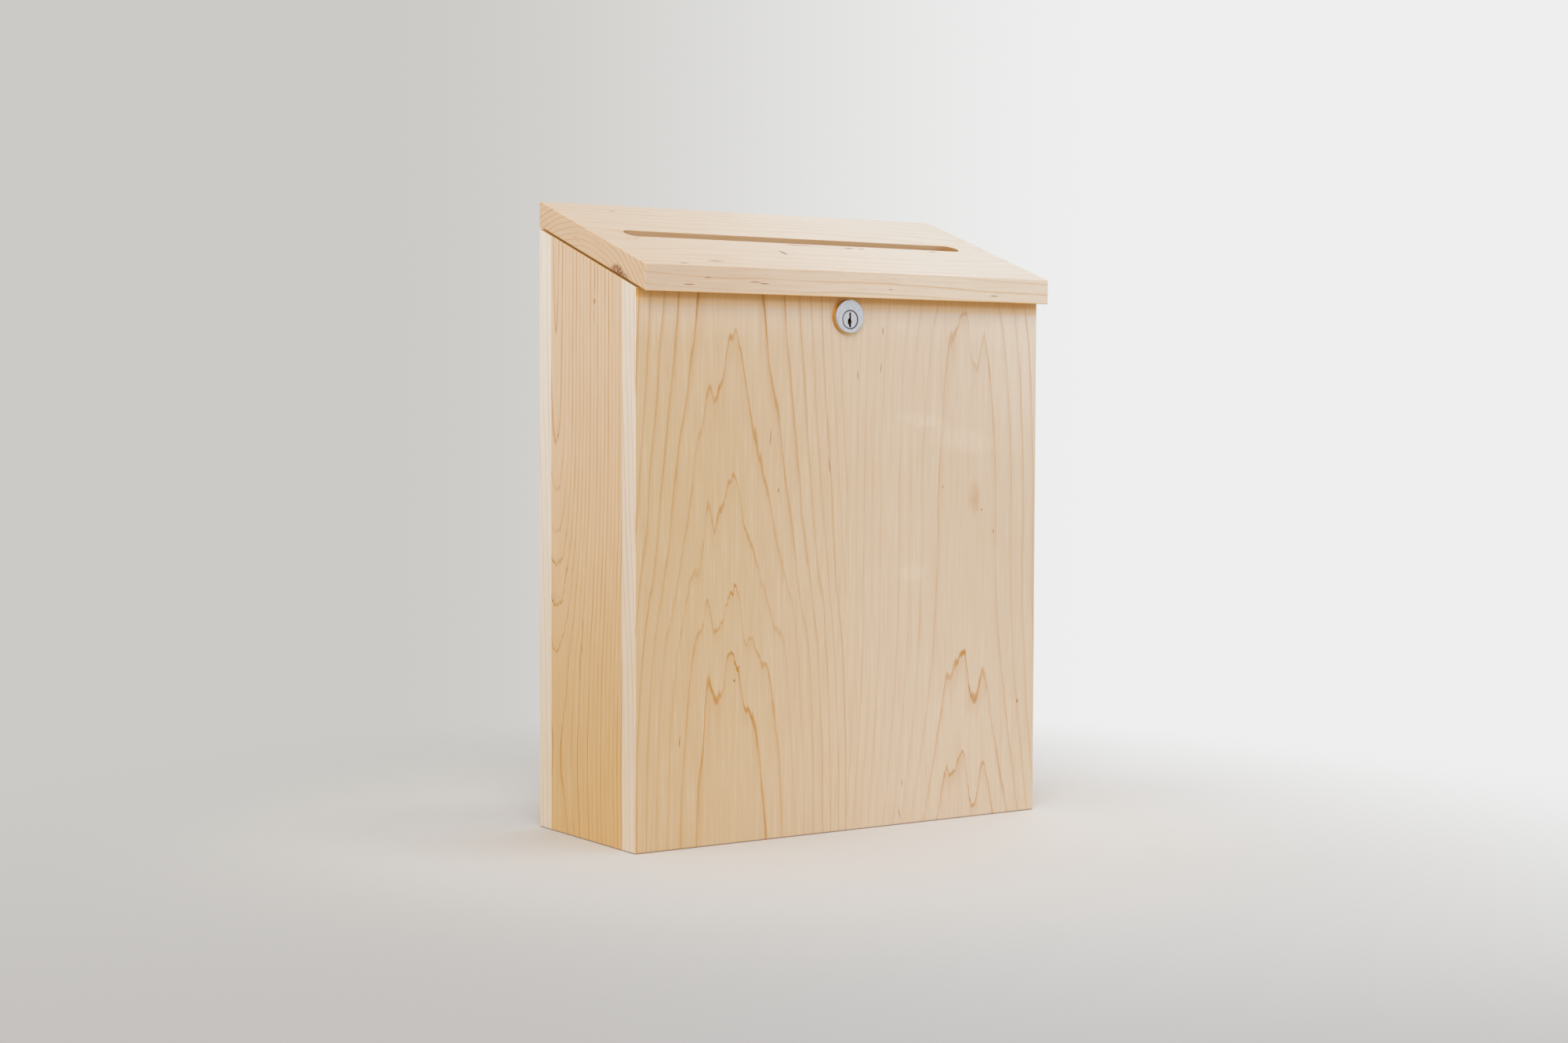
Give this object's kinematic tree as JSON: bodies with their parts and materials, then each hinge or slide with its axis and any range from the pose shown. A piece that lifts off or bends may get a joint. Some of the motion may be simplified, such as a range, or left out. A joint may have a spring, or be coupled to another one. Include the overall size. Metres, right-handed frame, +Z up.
{
  "type": "donation box",
  "caption": "Free-standing maple drop box with a sloping hinged lid, a long round-ended deposit slot and a key lock whose hook cam holds the lid shut.",
  "frame": {"origin": "on the floor, below the middle of the whole object's outline", "axes": "+X to the right seen from the front, +Y from the front to the back, +Z up"},
  "size_m": [0.381, 0.1672, 0.4907],
  "materials": {
    "maple": "sanded clear satin",
    "plywood": "sanded",
    "dowel_wood": "turned beech",
    "pad_rubber": "matt",
    "hinge_nickel": "satin nickel",
    "screw_steel": "zinc plated",
    "lock_satin": "satin",
    "zinc_steel": "zinc plated",
    "pin_brass": "turned",
    "spring_steel": "drawn wire"
  },
  "bodies": {
    "box": {"front_panel": "maple", "back_panel": "maple", "left_side": "maple", "right_side": "maple", "bottom_panel": "plywood", "front_corner_dowels": "dowel_wood", "back_corner_dowels": "dowel_wood", "lid_bumpers": "pad_rubber", "left_hinge_frame_leaf": "hinge_nickel", "right_hinge_frame_leaf": "hinge_nickel", "left_hinge_pin": "hinge_nickel", "right_hinge_pin": "hinge_nickel", "frame_leaf_screws": "screw_steel", "lock_housing": "lock_satin", "lock_washer": "zinc_steel", "lock_nut": "zinc_steel", "driver_pins": "pin_brass", "pin_springs": "spring_steel", "chamber_cover": "pin_brass"},
    "lid": {"lid_panel": "maple", "left_hinge_lid_leaf": "hinge_nickel", "right_hinge_lid_leaf": "hinge_nickel", "lid_leaf_screws": "screw_steel", "lid_catch": "zinc_steel", "catch_screws": "screw_steel"},
    "lock_core": {"lock_plug": "lock_satin", "key_pins": "pin_brass", "stop_washer": "zinc_steel", "lock_cam": "zinc_steel", "cam_screw": "screw_steel"}
  },
  "joints": [
    {"name": "lid_hinge", "type": "hinge", "parent": "box", "child": "lid", "pos_m": [0, 0.08077, 0.47165], "axis": [-1, 0, 0], "range_deg": [0, 195]},
    {"name": "lock_turn", "type": "hinge", "parent": "box", "child": "lock_core", "pos_m": [0, -0.06943, 0.39895], "axis": [0, 1, 0], "range_deg": [0, 90]}
  ]
}
